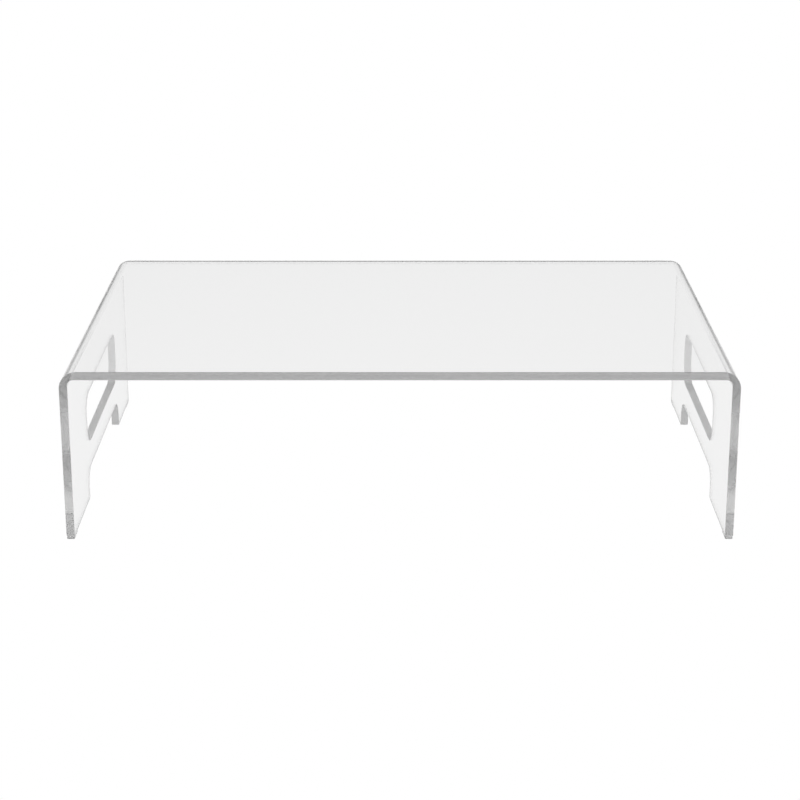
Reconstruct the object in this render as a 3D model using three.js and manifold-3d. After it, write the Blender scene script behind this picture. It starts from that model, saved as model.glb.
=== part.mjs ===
// Monitor riser stand: one clear acrylic sheet, cut flat and then line-bent twice into a low bridge,
// standing on four small clear pads. Millimetres, +Z up. The front edge faces -Y and the legs stand
// at -X and +X. The origin is on the desk, under the middle of the riser.

import * as THREE from 'three';
import { mergeVertices } from 'three/addons/utils/BufferGeometryUtils.js';
import Module from 'manifold-3d';

const wasm = await Module();
wasm.setup();

// Driving dimensions
const WIDTH = 400; // over the outer faces of the two legs
const DEPTH = 240; // from the front edge to the rear edge
const HEIGHT = 106; // from the desk to the top face
const THICKNESS = 5; // of the acrylic sheet
const OUTER_BEND_RADIUS = 10.5;
const INNER_BEND_RADIUS = 3.5; // the sheet thins to about 4.2 in the bends, as line-bent acrylic does

const OPENING_CENTRE_Y = 5; // both leg openings are centred a little behind the middle of the depth
const HANDLE_LENGTH = 123; // grip slot in each leg
const HANDLE_BOTTOM = 36;
const HANDLE_TOP = 67;
const HANDLE_CORNER = 10;
const NOTCH_LENGTH = 128; // cable notch between the front and the rear foot of each leg
const NOTCH_TOP = 19.5;
const NOTCH_CORNER = 10;
const FOOT_CORNER = 2; // radius on the corners of the feet

const PAD_THICKNESS = 1;
const PAD_LENGTH = 12;
const PAD_WIDTH = 4.6;
const PAD_CORNER = 0.8;
const PAD_INSET = 0.4; // from the front or rear edge of the riser

// Facets
const BEND_STEPS = 16; // per quarter turn of a bend
const CORNER_STEPS = 8; // per quarter turn of an opening's corner
const PAD_CORNER_STEPS = 5; // per quarter turn of a pad's corner
const SPARE = 10; // how far each rough solid reaches past the other before they are intersected

const HALF_TURN = Math.PI;
const QUARTER = Math.PI / 2;

// Materials

function clearAcrylic() {
  return new THREE.MeshStandardMaterial({
    color: 0xf0f2f2,
    roughness: 0.05,
    metalness: 0,
    transparent: true,
    opacity: 0.35,
  });
}

function clearSilicone() {
  return new THREE.MeshStandardMaterial({
    color: 0xe4e6e6,
    roughness: 0.35,
    metalness: 0,
    transparent: true,
    opacity: 0.6,
  });
}

// Solids

/** Turns a closed geometry into a manifold solid. */
function toSolid(geometry) {
  const bare = geometry.clone();
  bare.deleteAttribute('normal');
  bare.deleteAttribute('uv');
  const merged = mergeVertices(bare);
  const mesh = new wasm.Mesh({
    numProp: 3,
    vertProperties: new Float32Array(merged.attributes.position.array),
    triVerts: new Uint32Array(merged.index.array),
  });
  return new wasm.Manifold(mesh);
}

/** Turns a manifold solid back into a geometry. */
function toGeometry(solid) {
  const { vertProperties, triVerts } = solid.getMesh();
  const geometry = new THREE.BufferGeometry();
  geometry.setAttribute('position', new THREE.BufferAttribute(vertProperties, 3));
  geometry.setIndex(new THREE.BufferAttribute(triVerts, 1));
  geometry.computeVertexNormals();
  return geometry;
}

/** The U section of the bent sheet, in X and Z, with legs that run on below the feet. */
function bridgeSection() {
  const half = WIDTH / 2;
  const outerX = half - OUTER_BEND_RADIUS;
  const outerZ = HEIGHT - OUTER_BEND_RADIUS;
  const innerX = half - THICKNESS - INNER_BEND_RADIUS;
  const innerZ = HEIGHT - THICKNESS - INNER_BEND_RADIUS;
  const section = new THREE.Shape();
  section.moveTo(-half, -SPARE);
  section.lineTo(-half + THICKNESS, -SPARE);
  section.absarc(-innerX, innerZ, INNER_BEND_RADIUS, HALF_TURN, QUARTER, true);
  section.absarc(innerX, innerZ, INNER_BEND_RADIUS, QUARTER, 0, true);
  section.lineTo(half - THICKNESS, -SPARE);
  section.lineTo(half, -SPARE);
  section.absarc(outerX, outerZ, OUTER_BEND_RADIUS, 0, QUARTER, false);
  section.absarc(-outerX, outerZ, OUTER_BEND_RADIUS, QUARTER, HALF_TURN, false);
  section.closePath();
  return section;
}

/** The section run from front to rear, a little longer than the sheet at both ends. */
function roughBridge() {
  const length = DEPTH + 2 * SPARE;
  const geometry = new THREE.ExtrudeGeometry(bridgeSection(), {
    depth: length,
    curveSegments: BEND_STEPS,
    bevelEnabled: false,
  });
  geometry.rotateX(QUARTER); // the section stands up and its length runs towards -Y
  geometry.translate(0, length / 2, 0);
  return toSolid(geometry);
}

/** Runs an outline in Y and Z across the whole width, a little wider than the sheet at both sides. */
function acrossWidth(outline) {
  const length = WIDTH + 2 * SPARE;
  const geometry = new THREE.ExtrudeGeometry(outline, {
    depth: length,
    curveSegments: CORNER_STEPS,
    bevelEnabled: false,
  });
  geometry.rotateX(QUARTER); // outline upright, length towards -Y
  geometry.rotateZ(QUARTER); // outline across Y and Z, length towards +X
  geometry.translate(-length / 2, 0, 0);
  return toSolid(geometry);
}

/** The grip slot, a rounded rectangle in Y and Z. */
function handleOutline() {
  const front = OPENING_CENTRE_Y - HANDLE_LENGTH / 2 + HANDLE_CORNER;
  const rear = OPENING_CENTRE_Y + HANDLE_LENGTH / 2 - HANDLE_CORNER;
  const low = HANDLE_BOTTOM + HANDLE_CORNER;
  const high = HANDLE_TOP - HANDLE_CORNER;
  const outline = new THREE.Shape();
  outline.absarc(front, low, HANDLE_CORNER, -HALF_TURN, -QUARTER, false);
  outline.absarc(rear, low, HANDLE_CORNER, -QUARTER, 0, false);
  outline.absarc(rear, high, HANDLE_CORNER, 0, QUARTER, false);
  outline.absarc(front, high, HANDLE_CORNER, QUARTER, HALF_TURN, false);
  outline.closePath();
  return outline;
}

/** The side view of the sheet in Y and Z: two feet with the cable notch between them. */
function sideOutline() {
  const half = DEPTH / 2;
  const footZ = PAD_THICKNESS;
  const notchFront = OPENING_CENTRE_Y - NOTCH_LENGTH / 2;
  const notchRear = OPENING_CENTRE_Y + NOTCH_LENGTH / 2;
  const cornerZ = footZ + FOOT_CORNER;
  const ceilingZ = NOTCH_TOP - NOTCH_CORNER;
  const outline = new THREE.Shape();
  outline.absarc(-half + FOOT_CORNER, cornerZ, FOOT_CORNER, HALF_TURN, 3 * QUARTER, false);
  outline.absarc(notchFront - FOOT_CORNER, cornerZ, FOOT_CORNER, -QUARTER, 0, false);
  outline.absarc(notchFront + NOTCH_CORNER, ceilingZ, NOTCH_CORNER, HALF_TURN, QUARTER, true);
  outline.absarc(notchRear - NOTCH_CORNER, ceilingZ, NOTCH_CORNER, QUARTER, 0, true);
  outline.absarc(notchRear + FOOT_CORNER, cornerZ, FOOT_CORNER, HALF_TURN, 3 * QUARTER, false);
  outline.absarc(half - FOOT_CORNER, cornerZ, FOOT_CORNER, -QUARTER, 0, false);
  outline.lineTo(half, HEIGHT + SPARE);
  outline.lineTo(-half, HEIGHT + SPARE);
  outline.closePath();
  return outline;
}

/** The sheet: what the bent section and the side view have in common, less the grip slots. */
function bentSheet() {
  const blank = roughBridge().intersect(acrossWidth(sideOutline()));
  const cut = blank.subtract(acrossWidth(handleOutline()));
  const mesh = new THREE.Mesh(toGeometry(cut), clearAcrylic());
  mesh.name = 'bent_acrylic_sheet';
  return mesh;
}

/** One pad, a flat strip with rounded corners, lying along Y with its underside on the desk. */
function footPad(name, sideX, endY) {
  const across = PAD_WIDTH / 2 - PAD_CORNER;
  const along = PAD_LENGTH / 2 - PAD_CORNER;
  const outline = new THREE.Shape();
  outline.absarc(across, along, PAD_CORNER, 0, QUARTER, false);
  outline.absarc(-across, along, PAD_CORNER, QUARTER, HALF_TURN, false);
  outline.absarc(-across, -along, PAD_CORNER, HALF_TURN, 3 * QUARTER, false);
  outline.absarc(across, -along, PAD_CORNER, 3 * QUARTER, 2 * HALF_TURN, false);
  outline.closePath();
  const geometry = new THREE.ExtrudeGeometry(outline, {
    depth: PAD_THICKNESS,
    curveSegments: PAD_CORNER_STEPS,
    bevelEnabled: false,
  });
  const mesh = new THREE.Mesh(geometry, clearSilicone());
  mesh.name = name;
  mesh.position.x = sideX * (WIDTH / 2 - THICKNESS / 2);
  mesh.position.y = endY * (DEPTH / 2 - PAD_INSET - PAD_LENGTH / 2);
  return mesh;
}

// Assembly

const riser = new THREE.Group();
riser.add(bentSheet());
for (const [end, endY] of [['front', -1], ['rear', 1]]) {
  for (const [side, sideX] of [['left', -1], ['right', 1]]) {
    riser.add(footPad(`foot_pad_${end}_${side}`, sideX, endY));
  }
}

export default riser;
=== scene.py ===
"""Monitor riser stand in clear acrylic: the looks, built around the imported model.

Metres, +Z up. The front edge faces -Y and the legs stand at -X and +X.
"""
import math

import bmesh
import bpy
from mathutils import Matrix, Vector
from mathutils.geometry import tessellate_polygon


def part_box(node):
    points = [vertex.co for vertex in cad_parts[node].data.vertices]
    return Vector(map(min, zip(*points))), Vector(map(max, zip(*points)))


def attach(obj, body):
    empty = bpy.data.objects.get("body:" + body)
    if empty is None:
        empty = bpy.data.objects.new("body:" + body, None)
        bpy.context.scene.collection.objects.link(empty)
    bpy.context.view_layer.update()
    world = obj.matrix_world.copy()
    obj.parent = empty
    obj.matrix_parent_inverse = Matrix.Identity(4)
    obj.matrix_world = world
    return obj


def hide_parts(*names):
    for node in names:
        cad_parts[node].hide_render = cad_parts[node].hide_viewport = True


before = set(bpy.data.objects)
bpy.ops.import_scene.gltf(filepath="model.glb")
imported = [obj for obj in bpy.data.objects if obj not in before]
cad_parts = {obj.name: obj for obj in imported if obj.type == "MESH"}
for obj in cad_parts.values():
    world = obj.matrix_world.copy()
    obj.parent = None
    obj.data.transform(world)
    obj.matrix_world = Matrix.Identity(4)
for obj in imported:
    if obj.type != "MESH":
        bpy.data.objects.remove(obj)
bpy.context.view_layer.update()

MM = 0.001
QUARTER = math.pi / 2

# The sheet's box comes from the frame; the sizes inside it are the CAD model's own
SHEET_LOW, SHEET_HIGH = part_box("bent_acrylic_sheet")
HALF_WIDTH = SHEET_HIGH.x
HALF_DEPTH = SHEET_HIGH.y
SHEET_TOP = SHEET_HIGH.z
SHEET_FOOT = SHEET_LOW.z
THICKNESS = 5 * MM
OUTER_BEND_RADIUS = 10.5 * MM
INNER_BEND_RADIUS = 3.5 * MM

OPENING_CENTRE_Y = 5 * MM
HANDLE_LENGTH = 123 * MM
HANDLE_BOTTOM = 36 * MM
HANDLE_TOP = 67 * MM
HANDLE_CORNER = 10 * MM
NOTCH_LENGTH = 128 * MM
NOTCH_TOP = 19.5 * MM
NOTCH_CORNER = 10 * MM
FOOT_CORNER = 2 * MM

# Fineness of the visual mesh
ARRIS_RADIUS = 0.35 * MM  # the small rounding along every cut edge
ARRIS_STEPS = 4
CROWN_LEAN = 6  # degrees that a cut edge leans at its arrises, because polishing leaves it slightly convex
CROWN_STEPS = 3
BEND_STEPS = 32
CORNER_STEPS = 12
LEAST_MITRE_COSINE = 0.5  # keeps the mitre at a sharp corner short

# The acrylic: how much light its volume takes away, the painted shade that greys its cut edges into dark
# outlines, and how rough each kind of surface is
ACRYLIC_IOR = 1.491
ABSORPTION_GREY = 0.5
ABSORPTION_DENSITY = 4.16
# Painted shade: these greys darken the cut edges, standing in for the dark outlines that the light gives them
POLISHED_CUT_SHADE = 0.80
ROUTED_CUT_SHADE = 0.81
ROUTED_TINT_SPREAD = 0.04
FACE_ROUGHNESS = 0.02  # where the sheet is smudged; it is mirror-smooth elsewhere
POLISHED_CUT_ROUGHNESS = 0.1
ROUTED_CUT_ROUGHNESS = 0.9
CUT_MARK_SPACING = 0.7 * MM
CUT_MARK_HEIGHT = 0.002 * MM
CUT_MARK_DETAIL = 2
SMUDGE_SIZE = 30 * MM
SMUDGE_DETAIL = 3
SMUDGE_START, SMUDGE_FULL = 0.45, 0.75  # the noise levels between which a smudge sets in

# The silicone pads under the feet
PAD_CORNER = 0.8 * MM
PAD_ROUNDING = 0.2 * MM
PAD_ROUNDING_STEPS = 4
PAD_GAP = 0.01 * MM  # a film of air, so that the two surfaces don't coincide
SILICONE_IOR = 1.41
SILICONE_ROUGHNESS = 0.3
SILICONE_ROUGHNESS_SPREAD = 0.08
# Painted shade: the silicone's grey stands in for the shade where the feet stand on the floor
SILICONE_SHADE = 0.78
SILICONE_TINT_SPREAD = 0.05
GRAIN_SIZE = 0.3 * MM
GRAIN_HEIGHT = 0.005 * MM
GRAIN_DETAIL = 3
GRAIN_LOW, GRAIN_HIGH = 0.3, 0.7  # the noise levels between which the roughness changes

# The studio: a white floor that glows, a painted pool of light bright round the riser, and a soft glow high
# behind the riser and high in front of it
FLOOR_REACH = 20
FLOOR_DROP = 0.02 * MM  # keeps the floor clear of the pads' undersides
FLOOR_NEAR = 0.9
FLOOR_FAR = 0.35
NEAR_RADIUS = 0.65
FAR_RADIUS = 1.0
WORLD_DIM = 0.4
WORLD_GLOW = 0.915
GLOW_EDGE = 0.7  # cosine of the angle from the glow's middle at which it has faded out
GLOW_ELEVATION = 35  # degrees
BACKGROUND_WHITE = 1.0
LIGHT_BOUNCES = 32  # enough for light that runs along inside the sheet

# The camera, as fitted to the photo
SENSOR_WIDTH = 36  # millimetres, as Blender's camera has it
FOCAL_LENGTH = 86.36
CAMERA_SHIFT_X = 0.0002
CAMERA_SHIFT_Y = -0.1431
CAMERA_DISTANCE = 1.060  # in front of the shelf's front edge
CAMERA_HEIGHT = 0.4756
CAMERA_TILT = 16.63  # degrees downwards

# The developed sheet: how far along the section each part of it reaches
LEG_LENGTH = SHEET_TOP - OUTER_BEND_RADIUS - SHEET_FOOT
BEND_LENGTH = QUARTER * OUTER_BEND_RADIUS
TOP_LENGTH = 2 * (HALF_WIDTH - OUTER_BEND_RADIUS)
SHEET_LENGTH = 2 * (LEG_LENGTH + BEND_LENGTH) + TOP_LENGTH


# Helpers

def arc(centre, radius, start, end):
    """Points on an arc round a centre, from one angle to another, in degrees."""
    points = []
    for step in range(CORNER_STEPS + 1):
        angle = math.radians(start + (end - start) * step / CORNER_STEPS)
        points.append((centre[0] + radius * math.cos(angle), centre[1] + radius * math.sin(angle)))
    return points


def mirrored(points):
    """The same outline on the other leg, running the same way round."""
    return [(SHEET_LENGTH - s, y) for s, y in reversed(points)]


def placed(name, data):
    """A new object in the scene."""
    made = bpy.data.objects.new(name, data)
    bpy.context.collection.objects.link(made)
    return made


# The bent sheet

def section_at(s):
    """The outer and the inner face's points, the normal and the way along, in X and Z, at length s."""
    if s > SHEET_LENGTH / 2:
        parts = section_at(SHEET_LENGTH - s)
        outer, inner, normal = [Vector((-part.x, part.y)) for part in parts[:3]]
        return outer, inner, normal, Vector((parts[3].x, -parts[3].y))
    if s < LEG_LENGTH:
        outer = Vector((-HALF_WIDTH, SHEET_FOOT + s))
        return outer, outer + Vector((THICKNESS, 0)), Vector((-1, 0)), Vector((0, 1))
    turn = (s - LEG_LENGTH) / OUTER_BEND_RADIUS
    normal = Vector((-math.cos(turn), math.sin(turn)))
    outer_centre = Vector((OUTER_BEND_RADIUS - HALF_WIDTH, SHEET_TOP - OUTER_BEND_RADIUS))
    inner_reach = THICKNESS + INNER_BEND_RADIUS
    inner_centre = Vector((inner_reach - HALF_WIDTH, SHEET_TOP - inner_reach))
    outer = outer_centre + OUTER_BEND_RADIUS * normal
    return outer, inner_centre + INNER_BEND_RADIUS * normal, normal, Vector((normal.y, -normal.x))


def leg_outline():
    """The left leg's edge: down the front foot's corner, over the notch, and up the rear foot's corner."""
    notch_front = OPENING_CENTRE_Y - NOTCH_LENGTH / 2
    notch_rear = OPENING_CENTRE_Y + NOTCH_LENGTH / 2
    ceiling = NOTCH_TOP - SHEET_FOOT - NOTCH_CORNER
    points = arc((FOOT_CORNER, FOOT_CORNER - HALF_DEPTH), FOOT_CORNER, 270, 180)
    points += arc((FOOT_CORNER, notch_front - FOOT_CORNER), FOOT_CORNER, 180, 90)
    points += arc((ceiling, notch_front + NOTCH_CORNER), NOTCH_CORNER, -90, 0)
    points += arc((ceiling, notch_rear - NOTCH_CORNER), NOTCH_CORNER, 0, 90)
    points += arc((FOOT_CORNER, notch_rear + FOOT_CORNER), FOOT_CORNER, -90, -180)
    points += arc((FOOT_CORNER, HALF_DEPTH - FOOT_CORNER), FOOT_CORNER, 180, 90)
    return points


def handle_outline():
    """The left leg's grip slot."""
    front = OPENING_CENTRE_Y - HANDLE_LENGTH / 2 + HANDLE_CORNER
    rear = OPENING_CENTRE_Y + HANDLE_LENGTH / 2 - HANDLE_CORNER
    low = HANDLE_BOTTOM - SHEET_FOOT + HANDLE_CORNER
    high = HANDLE_TOP - SHEET_FOOT - HANDLE_CORNER
    points = arc((low, front), HANDLE_CORNER, 180, 270)
    points += arc((high, front), HANDLE_CORNER, 270, 360)
    points += arc((high, rear), HANDLE_CORNER, 0, 90)
    points += arc((low, rear), HANDLE_CORNER, 90, 180)
    return points


def bend_stations():
    """Lengths along the sheet at the facets of both bends."""
    first = [LEG_LENGTH + BEND_LENGTH * step / BEND_STEPS for step in range(BEND_STEPS + 1)]
    return first + [SHEET_LENGTH - s for s in reversed(first)]


def edge_profile():
    """From a face to the middle of a cut edge: how far the normal leans, and how far in and how deep it is."""
    arris_end = math.radians(90 - CROWN_LEAN)
    crown_start = ARRIS_RADIUS * (1 - math.cos(arris_end))
    crown_radius = (THICKNESS / 2 - crown_start) / math.cos(arris_end)
    arris_inset = crown_radius * (1 - math.sin(arris_end))
    profile = []
    for step in range(ARRIS_STEPS + 1):
        lean = arris_end * step / ARRIS_STEPS
        inset = arris_inset + ARRIS_RADIUS * (math.sin(arris_end) - math.sin(lean))
        profile.append((lean, inset, ARRIS_RADIUS * (1 - math.cos(lean))))
    for step in range(1, CROWN_STEPS + 1):
        lean = arris_end + (QUARTER - arris_end) * step / CROWN_STEPS
        inset = crown_radius * (1 - math.sin(lean))
        profile.append((lean, inset, THICKNESS / 2 - crown_radius * math.cos(lean)))
    return profile


def outward_normals(loop):
    """For each point of a loop, the direction out of the material and how much the mitre stretches it."""
    normals = []
    for index, here in enumerate(loop):
        edges = []
        for a, b in ((loop[index - 1], here), (here, loop[(index + 1) % len(loop)])):
            edges.append(Vector((a[1] - b[1], b[0] - a[0])).normalized())
        middle = (edges[0] + edges[1]).normalized()
        normals.append((middle, 1 / max(LEAST_MITRE_COSINE, middle.dot(edges[0]))))
    return normals


class SheetMesh:
    """Collects the sheet's faces, and its vertices with their true normals and their place on the sheet.

    on_cut and routed go from 0 on a face to 1 in the middle of a cut edge, or of a routed one.
    developed is each vertex's length along the section, its Y, and its depth under the outer face.
    """

    def __init__(self):
        self.points = []
        self.normals = []
        self.on_cut = []
        self.routed = []
        self.developed = []
        self.faces = []

    def vertex(self, s, y, depth, outward, lean, side, is_routed):
        """A vertex at a depth under the outer face; its normal leans from the face to the cut edge."""
        outer, inner, normal, along = section_at(s)
        point = outer.lerp(inner, depth / THICKNESS)
        self.points.append((point.x, y, point.y))
        facing = normal * side * math.cos(lean) + along * outward.x * math.sin(lean)
        self.normals.append(Vector((facing.x, outward.y * math.sin(lean), facing.y)).normalized())
        self.on_cut.append(lean / QUARTER)
        self.routed.append(lean / QUARTER * is_routed)
        self.developed.append((s, y, depth))
        return len(self.points) - 1

    def rim(self, loop, routed_stretch):
        """The slightly convex cut edge round one loop, with a rounded arris on each face."""
        profile = edge_profile()
        stations = [(1, *station) for station in profile]
        stations += [(-1, lean, inset, THICKNESS - sunk) for lean, inset, sunk in reversed(profile[:-1])]
        rings = []
        for side, lean, inset, depth in stations:
            ring = []
            for index, (outward, mitre) in enumerate(outward_normals(loop)):
                at_s = loop[index][0] - outward.x * inset * mitre
                at_y = loop[index][1] - outward.y * inset * mitre
                is_routed = index in routed_stretch
                ring.append(self.vertex(at_s, at_y, depth, outward, lean, side, is_routed))
            rings.append(ring)
        for upper, lower in zip(rings, rings[1:]):
            for index in range(len(loop)):
                after = (index + 1) % len(loop)
                self.faces.append((upper[index], upper[after], lower[after], lower[index]))
        return rings[0], rings[-1]

    def leg_face(self, edge, hole):
        """The flat face of one leg, with its grip slot left open."""
        ids = edge + hole
        flat = [[Vector((self.points[i][1], self.points[i][2], 0)) for i in part] for part in (edge, hole)]
        for triangle in tessellate_polygon(flat):
            self.faces.append(tuple(ids[corner] for corner in triangle))


def build_sheet():
    """One closed body: both faces, the cut edge all round, and the cut edges of the two grip slots."""
    sheet = SheetMesh()
    leg = leg_outline()
    stations = bend_stations()
    rear_edge = [(s, HALF_DEPTH) for s in stations]
    front_edge = [(s, -HALF_DEPTH) for s in reversed(stations)]
    rear_start = len(leg)
    right_start = rear_start + len(stations)
    front_start = right_start + len(leg)
    # Under each foot the edge is polished, and round the notch, between the feet, it is routed
    foot = CORNER_STEPS + 2
    routed = set(range(foot, rear_start - foot)) | set(range(right_start + foot, front_start - foot))
    outer_rings = sheet.rim(leg + rear_edge + mirrored(leg) + front_edge, routed)
    handle = handle_outline()
    left_rings = sheet.rim(handle, range(len(handle)))
    right_rings = sheet.rim(mirrored(handle), range(len(handle)))
    for outer, left_hole, right_hole in zip(outer_rings, left_rings, right_rings):
        rear = outer[rear_start:right_start]
        front = outer[front_start:][::-1]
        sheet.leg_face(outer[:rear_start] + [rear[0], front[0]], left_hole)
        sheet.leg_face(outer[right_start:front_start] + [front[-1], rear[-1]], right_hole)
        for index in range(len(rear) - 1):
            sheet.faces.append((rear[index], rear[index + 1], front[index + 1], front[index]))
    return sheet


def sheet_object(material):
    """The sheet as an object, with its normals and with its places as attributes for the material."""
    sheet = build_sheet()
    mesh = bpy.data.meshes.new("acrylic_sheet")
    mesh.from_pydata(sheet.points, [], sheet.faces)
    body = bmesh.new()
    body.from_mesh(mesh)
    bmesh.ops.recalc_face_normals(body, faces=body.faces)
    body.to_mesh(mesh)
    body.free()
    for name, values in (("cut_edge", sheet.on_cut), ("routed_edge", sheet.routed)):
        mesh.attributes.new(name, "FLOAT", "POINT").data.foreach_set("value", values)
    flat = [value for place in sheet.developed for value in place]
    mesh.attributes.new("developed", "FLOAT_VECTOR", "POINT").data.foreach_set("vector", flat)
    mesh.shade_smooth()
    mesh.normals_split_custom_set_from_vertices([tuple(normal) for normal in sheet.normals])
    mesh.materials.append(material)
    return placed("acrylic_sheet", mesh)


# The foot pads

def pad_object(node_name, piece_name, material):
    """One pad: a small block with rounded corners and softly rounded upper and lower edges."""
    low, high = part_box(node_name)
    low_z, high_z = low.z, high.z - PAD_GAP
    bottom_up = []
    for step in range(PAD_ROUNDING_STEPS + 1):
        lean = QUARTER * step / PAD_ROUNDING_STEPS
        bottom_up.append((PAD_ROUNDING * (1 - math.sin(lean)), PAD_ROUNDING * (1 - math.cos(lean))))
    levels = [(inset, low_z + rise) for inset, rise in bottom_up]
    levels += [(inset, high_z - rise) for inset, rise in reversed(bottom_up)]
    points = []
    for inset, z in levels:
        reach = PAD_CORNER - inset
        x_low, x_high = low.x + PAD_CORNER, high.x - PAD_CORNER
        y_low, y_high = low.y + PAD_CORNER, high.y - PAD_CORNER
        ring = arc((x_high, y_high), reach, 0, 90) + arc((x_low, y_high), reach, 90, 180)
        ring += arc((x_low, y_low), reach, 180, 270) + arc((x_high, y_low), reach, 270, 360)
        points += [(x, y, z) for x, y in ring]
    count = len(points) // len(levels)
    faces = [tuple(reversed(range(count))), tuple(range(len(points) - count, len(points)))]
    for start in range(0, len(points) - count, count):
        for index in range(count):
            after = (index + 1) % count
            faces.append((start + index, start + after, start + after + count, start + index + count))
    mesh = bpy.data.meshes.new(piece_name)
    mesh.from_pydata(points, [], faces)
    mesh.shade_smooth()
    mesh.polygons[0].use_smooth = False
    mesh.polygons[1].use_smooth = False
    mesh.materials.append(material)
    return placed(piece_name, mesh)


# Materials

def link(nodes, source, target):
    nodes.id_data.links.new(source, target)


def node_material(name):
    material = bpy.data.materials.new(name)
    material.use_nodes = True
    return material, material.node_tree.nodes


def clear_material(name, ior):
    """A material that lets all light through, with its nodes and its shader."""
    material, nodes = node_material(name)
    shader = nodes["Principled BSDF"]
    shader.inputs["Transmission Weight"].default_value = 1
    shader.inputs["IOR"].default_value = ior
    return material, nodes, shader


def attribute(nodes, name):
    """The Attribute node's outputs for one of the mesh's attributes."""
    node = nodes.new("ShaderNodeAttribute")
    node.attribute_name = name
    return node.outputs


def mixed(nodes, kind, factor, first, second):
    """A Mix node between two values or sockets, kind being FLOAT or RGBA."""
    mix = nodes.new("ShaderNodeMix")
    mix.data_type = kind
    sockets = {"FLOAT": (2, 3, 0), "RGBA": (6, 7, 2)}[kind]
    for index, value in ((sockets[0], first), (sockets[1], second)):
        if hasattr(value, "node"):
            link(nodes, value, mix.inputs[index])
        else:
            mix.inputs[index].default_value = value
    link(nodes, factor, mix.inputs["Factor"])
    return mix.outputs[sockets[2]]


def noise(nodes, coordinates, size, detail):
    """Noise whose blotches have about the given size."""
    texture = nodes.new("ShaderNodeTexNoise")
    texture.inputs["Scale"].default_value = 1 / size
    texture.inputs["Detail"].default_value = detail
    link(nodes, coordinates, texture.inputs["Vector"])
    return texture.outputs["Fac"]


def ranged(nodes, value, old_range, new_range, interpolation="SMOOTHSTEP"):
    """The value, carried from one range to another and held at its ends."""
    node = nodes.new("ShaderNodeMapRange")
    node.interpolation_type = interpolation
    for name, number in zip(("From Min", "From Max", "To Min", "To Max"), (*old_range, *new_range)):
        node.inputs[name].default_value = number
    link(nodes, value, node.inputs["Value"])
    return node.outputs["Result"]


def bumped(nodes, height, distance, shader):
    bump = nodes.new("ShaderNodeBump")
    bump.inputs["Distance"].default_value = distance
    link(nodes, height, bump.inputs["Height"])
    link(nodes, bump.outputs["Normal"], shader.inputs["Normal"])


def grey(level):
    return (level, level, level, 1)


def around(middle, spread):
    return (middle - spread, middle + spread)


def clear_acrylic():
    """Clear acrylic: gloss faces, polished outer edges, and the cutter's matte marks in slots and notches; the
    cut edges are greyed, a painted shade for their dark outlines.
    """
    material, nodes, shader = clear_material("clear_acrylic", ACRYLIC_IOR)
    cut = attribute(nodes, "cut_edge")["Fac"]
    routed = attribute(nodes, "routed_edge")["Fac"]
    # Leaving the depth out makes the cutter's marks run straight through the thickness
    flatten = nodes.new("ShaderNodeVectorMath")
    flatten.operation = "MULTIPLY"
    flatten.inputs[1].default_value = (1, 1, 0)
    link(nodes, attribute(nodes, "developed")["Vector"], flatten.inputs[0])
    marks = noise(nodes, flatten.outputs["Vector"], CUT_MARK_SPACING, CUT_MARK_DETAIL)
    smudges = noise(nodes, flatten.outputs["Vector"], SMUDGE_SIZE, SMUDGE_DETAIL)

    # Painted shade: the cut edges are greyed into dark outlines; on the routed ones the grey also varies with the
    # cutter's marks
    polished_edge_shade = mixed(nodes, "RGBA", cut, grey(1), grey(POLISHED_CUT_SHADE))
    routed_low, routed_high = around(ROUTED_CUT_SHADE, ROUTED_TINT_SPREAD)
    routed_shade_and_marks = mixed(nodes, "RGBA", marks, grey(routed_low), grey(routed_high))
    link(nodes, mixed(nodes, "RGBA", routed, polished_edge_shade, routed_shade_and_marks), shader.inputs["Base Color"])

    face_roughness = ranged(nodes, smudges, (SMUDGE_START, SMUDGE_FULL), (0, FACE_ROUGHNESS))
    polished = mixed(nodes, "FLOAT", cut, face_roughness, POLISHED_CUT_ROUGHNESS)
    link(nodes, mixed(nodes, "FLOAT", routed, polished, ROUTED_CUT_ROUGHNESS), shader.inputs["Roughness"])

    height = nodes.new("ShaderNodeMath")
    height.operation = "MULTIPLY"
    link(nodes, marks, height.inputs[0])
    link(nodes, cut, height.inputs[1])
    bumped(nodes, height.outputs["Value"], CUT_MARK_HEIGHT, shader)

    volume = nodes.new("ShaderNodeVolumeAbsorption")
    volume.inputs["Color"].default_value = grey(ABSORPTION_GREY)
    volume.inputs["Density"].default_value = ABSORPTION_DENSITY
    link(nodes, volume.outputs["Volume"], nodes["Material Output"].inputs["Volume"])
    return material


def clear_silicone():
    """Soft clear silicone with a faint satin grain; its grey is a painted shade for the dark band where the feet
    stand on the floor.
    """
    material, nodes, shader = clear_material("clear_silicone", SILICONE_IOR)
    grain = noise(nodes, nodes.new("ShaderNodeTexCoord").outputs["Object"], GRAIN_SIZE, GRAIN_DETAIL)
    low, high = around(SILICONE_SHADE, SILICONE_TINT_SPREAD)
    link(nodes, mixed(nodes, "RGBA", grain, grey(low), grey(high)), shader.inputs["Base Color"])
    roughness = around(SILICONE_ROUGHNESS, SILICONE_ROUGHNESS_SPREAD)
    link(nodes, ranged(nodes, grain, (GRAIN_LOW, GRAIN_HIGH), roughness), shader.inputs["Roughness"])
    bumped(nodes, grain, GRAIN_HEIGHT, shader)
    return material


# Stage

def white_to_camera(nodes, level):
    """The level, except where the camera sees the surface directly: there it is plain white, as in the photo."""
    seen_directly = nodes.new("ShaderNodeLightPath").outputs["Is Camera Ray"]
    return mixed(nodes, "FLOAT", seen_directly, level, BACKGROUND_WHITE)


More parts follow.
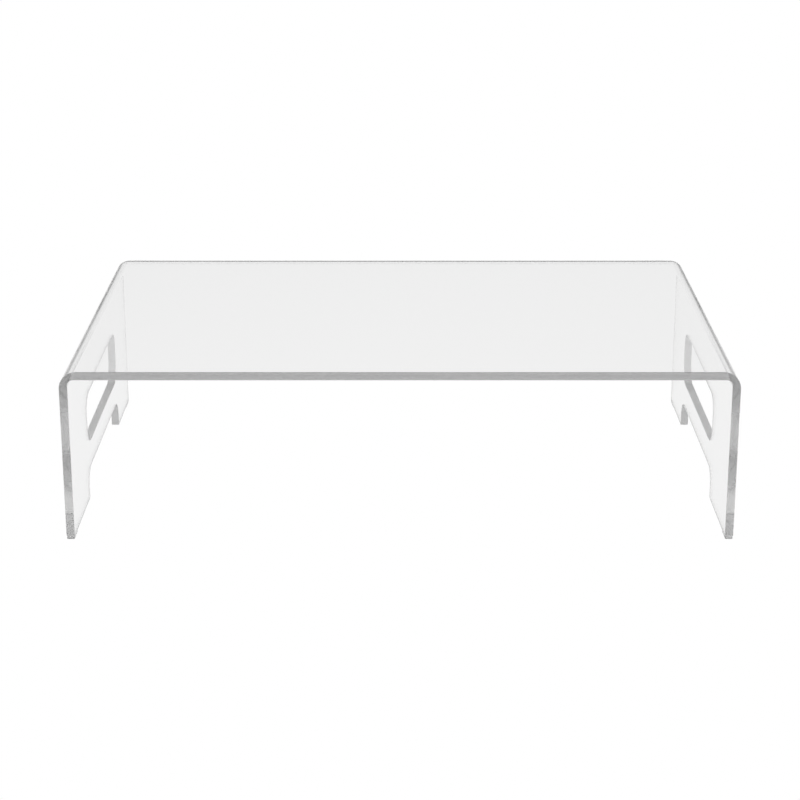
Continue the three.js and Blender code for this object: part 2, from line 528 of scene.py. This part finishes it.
def flat_floor():
    """A white floor that glows, a painted pool of light: the light that the riser gets from it fades with the
    distance.
    """
    mesh = bpy.data.meshes.new("floor")
    corners = [(x * FLOOR_REACH, y * FLOOR_REACH, 0) for x, y in ((-1, -1), (1, -1), (1, 1), (-1, 1))]
    mesh.from_pydata(corners, [], [(0, 1, 2, 3)])
    material, nodes = node_material("floor")
    nodes.remove(nodes["Principled BSDF"])
    distance = nodes.new("ShaderNodeVectorMath")
    distance.operation = "LENGTH"
    link(nodes, nodes.new("ShaderNodeTexCoord").outputs["Object"], distance.inputs[0])
    # Painted pool of light: the floor's glow is bright near the riser and fades further out
    level = ranged(nodes, distance.outputs["Value"], (NEAR_RADIUS, FAR_RADIUS), (FLOOR_NEAR, FLOOR_FAR))
    glow = nodes.new("ShaderNodeEmission")
    link(nodes, white_to_camera(nodes, level), glow.inputs["Strength"])
    link(nodes, glow.outputs["Emission"], nodes["Material Output"].inputs["Surface"])
    mesh.materials.append(material)
    floor = placed("floor", mesh)
    floor.location.z = -FLOOR_DROP


def studio_world():
    """Dim light from all round, with a soft glow high behind the riser and the same in front of it."""
    world = bpy.data.worlds.new("studio")
    world.use_nodes = True
    nodes = world.node_tree.nodes
    # Folding the directions makes the sky in front of the riser the mirror image of the sky behind it
    folded = nodes.new("ShaderNodeVectorMath")
    folded.operation = "ABSOLUTE"
    link(nodes, nodes.new("ShaderNodeTexCoord").outputs["Generated"], folded.inputs[0])
    elevation = math.radians(GLOW_ELEVATION)
    towards_glow = nodes.new("ShaderNodeVectorMath")
    towards_glow.operation = "DOT_PRODUCT"
    towards_glow.inputs[1].default_value = (0, math.cos(elevation), math.sin(elevation))
    link(nodes, folded.outputs["Vector"], towards_glow.inputs[0])
    level = ranged(nodes, towards_glow.outputs["Value"], (GLOW_EDGE, 1), (WORLD_DIM, WORLD_GLOW), "LINEAR")
    background = nodes["Background"]
    background.inputs["Color"].default_value = grey(1)
    link(nodes, white_to_camera(nodes, level), background.inputs["Strength"])
    bpy.context.scene.world = world


def photo_camera():
    data = bpy.data.cameras.new("camera")
    data.sensor_width = SENSOR_WIDTH
    data.lens = FOCAL_LENGTH
    data.shift_x = CAMERA_SHIFT_X
    data.shift_y = CAMERA_SHIFT_Y
    camera = placed("camera", data)
    camera.location = (0, -HALF_DEPTH - CAMERA_DISTANCE, CAMERA_HEIGHT)
    camera.rotation_euler = (math.radians(90 - CAMERA_TILT), 0, 0)
    bpy.context.scene.camera = camera


sheet_piece = sheet_object(clear_acrylic())
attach(sheet_piece, "root")
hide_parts("bent_acrylic_sheet")

silicone = clear_silicone()
for corner_name in ("front_left", "front_right", "rear_left", "rear_right"):
    pad_piece = pad_object("foot_pad_" + corner_name, "silicone_pad_" + corner_name, silicone)
    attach(pad_piece, "root")
    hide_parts("foot_pad_" + corner_name)

flat_floor()
studio_world()
photo_camera()
bpy.context.scene.view_settings.view_transform = "Standard"
bpy.context.scene.cycles.max_bounces = LIGHT_BOUNCES
bpy.context.scene.cycles.transmission_bounces = LIGHT_BOUNCES
bpy.context.scene.cycles.glossy_bounces = LIGHT_BOUNCES
